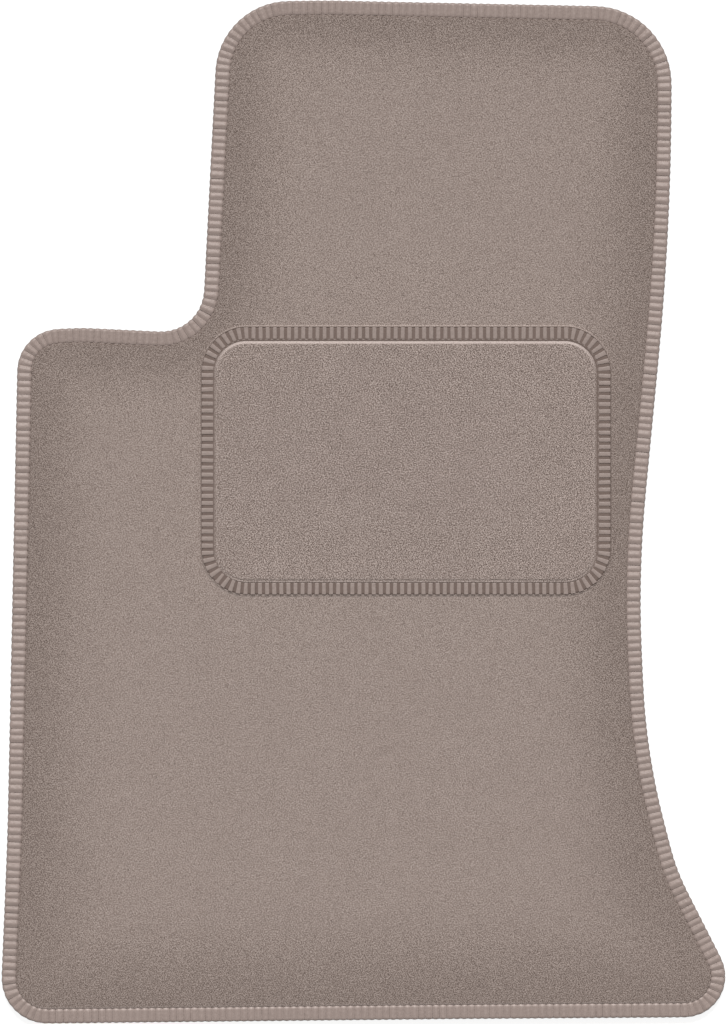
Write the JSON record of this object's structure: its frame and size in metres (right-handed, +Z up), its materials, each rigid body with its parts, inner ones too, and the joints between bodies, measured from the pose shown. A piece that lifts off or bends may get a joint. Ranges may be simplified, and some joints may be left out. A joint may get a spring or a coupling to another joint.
{
  "type": "floor mat",
  "caption": "Tufted driver's floor mat with a notch beside the footrest, a yarn-overlocked edge, a sewn-on heel pad and a rubber base.",
  "frame": {"origin": "middle of the mat's bounding box, on the floor that it lies on", "axes": "+Y from the heel edge to the toe edge, +X to the driver's right, +Z up out of the pile"},
  "size_m": [0.5099, 0.7206, 0.0113],
  "materials": {
    "rubber_base": "matt black anti-slip rubber",
    "latex": "cream latex pre-coat",
    "scrim": "plain woven tape cloth",
    "pile": "cut pile, warm grey",
    "pad_pile": "cut pile, warm grey",
    "edge_yarn": "bulky overlock yarn, warm grey",
    "pad_yarn": "bulky overlock yarn, warm grey",
    "thread": "twisted sewing thread"
  },
  "bodies": {
    "root": {"base_sheet": "rubber_base", "latex_coat": "latex", "woven_scrim": "scrim", "carpet_pile": "pile", "edge_yarn": "edge_yarn", "edge_needle_thread": "thread", "edge_looper_thread": "thread", "pad_latex_coat": "latex", "pad_woven_scrim": "scrim", "pad_pile": "pad_pile", "pad_edge_yarn": "pad_yarn", "pad_seam_thread": "thread", "pad_bobbin_thread": "thread"}
  },
  "joints": []
}
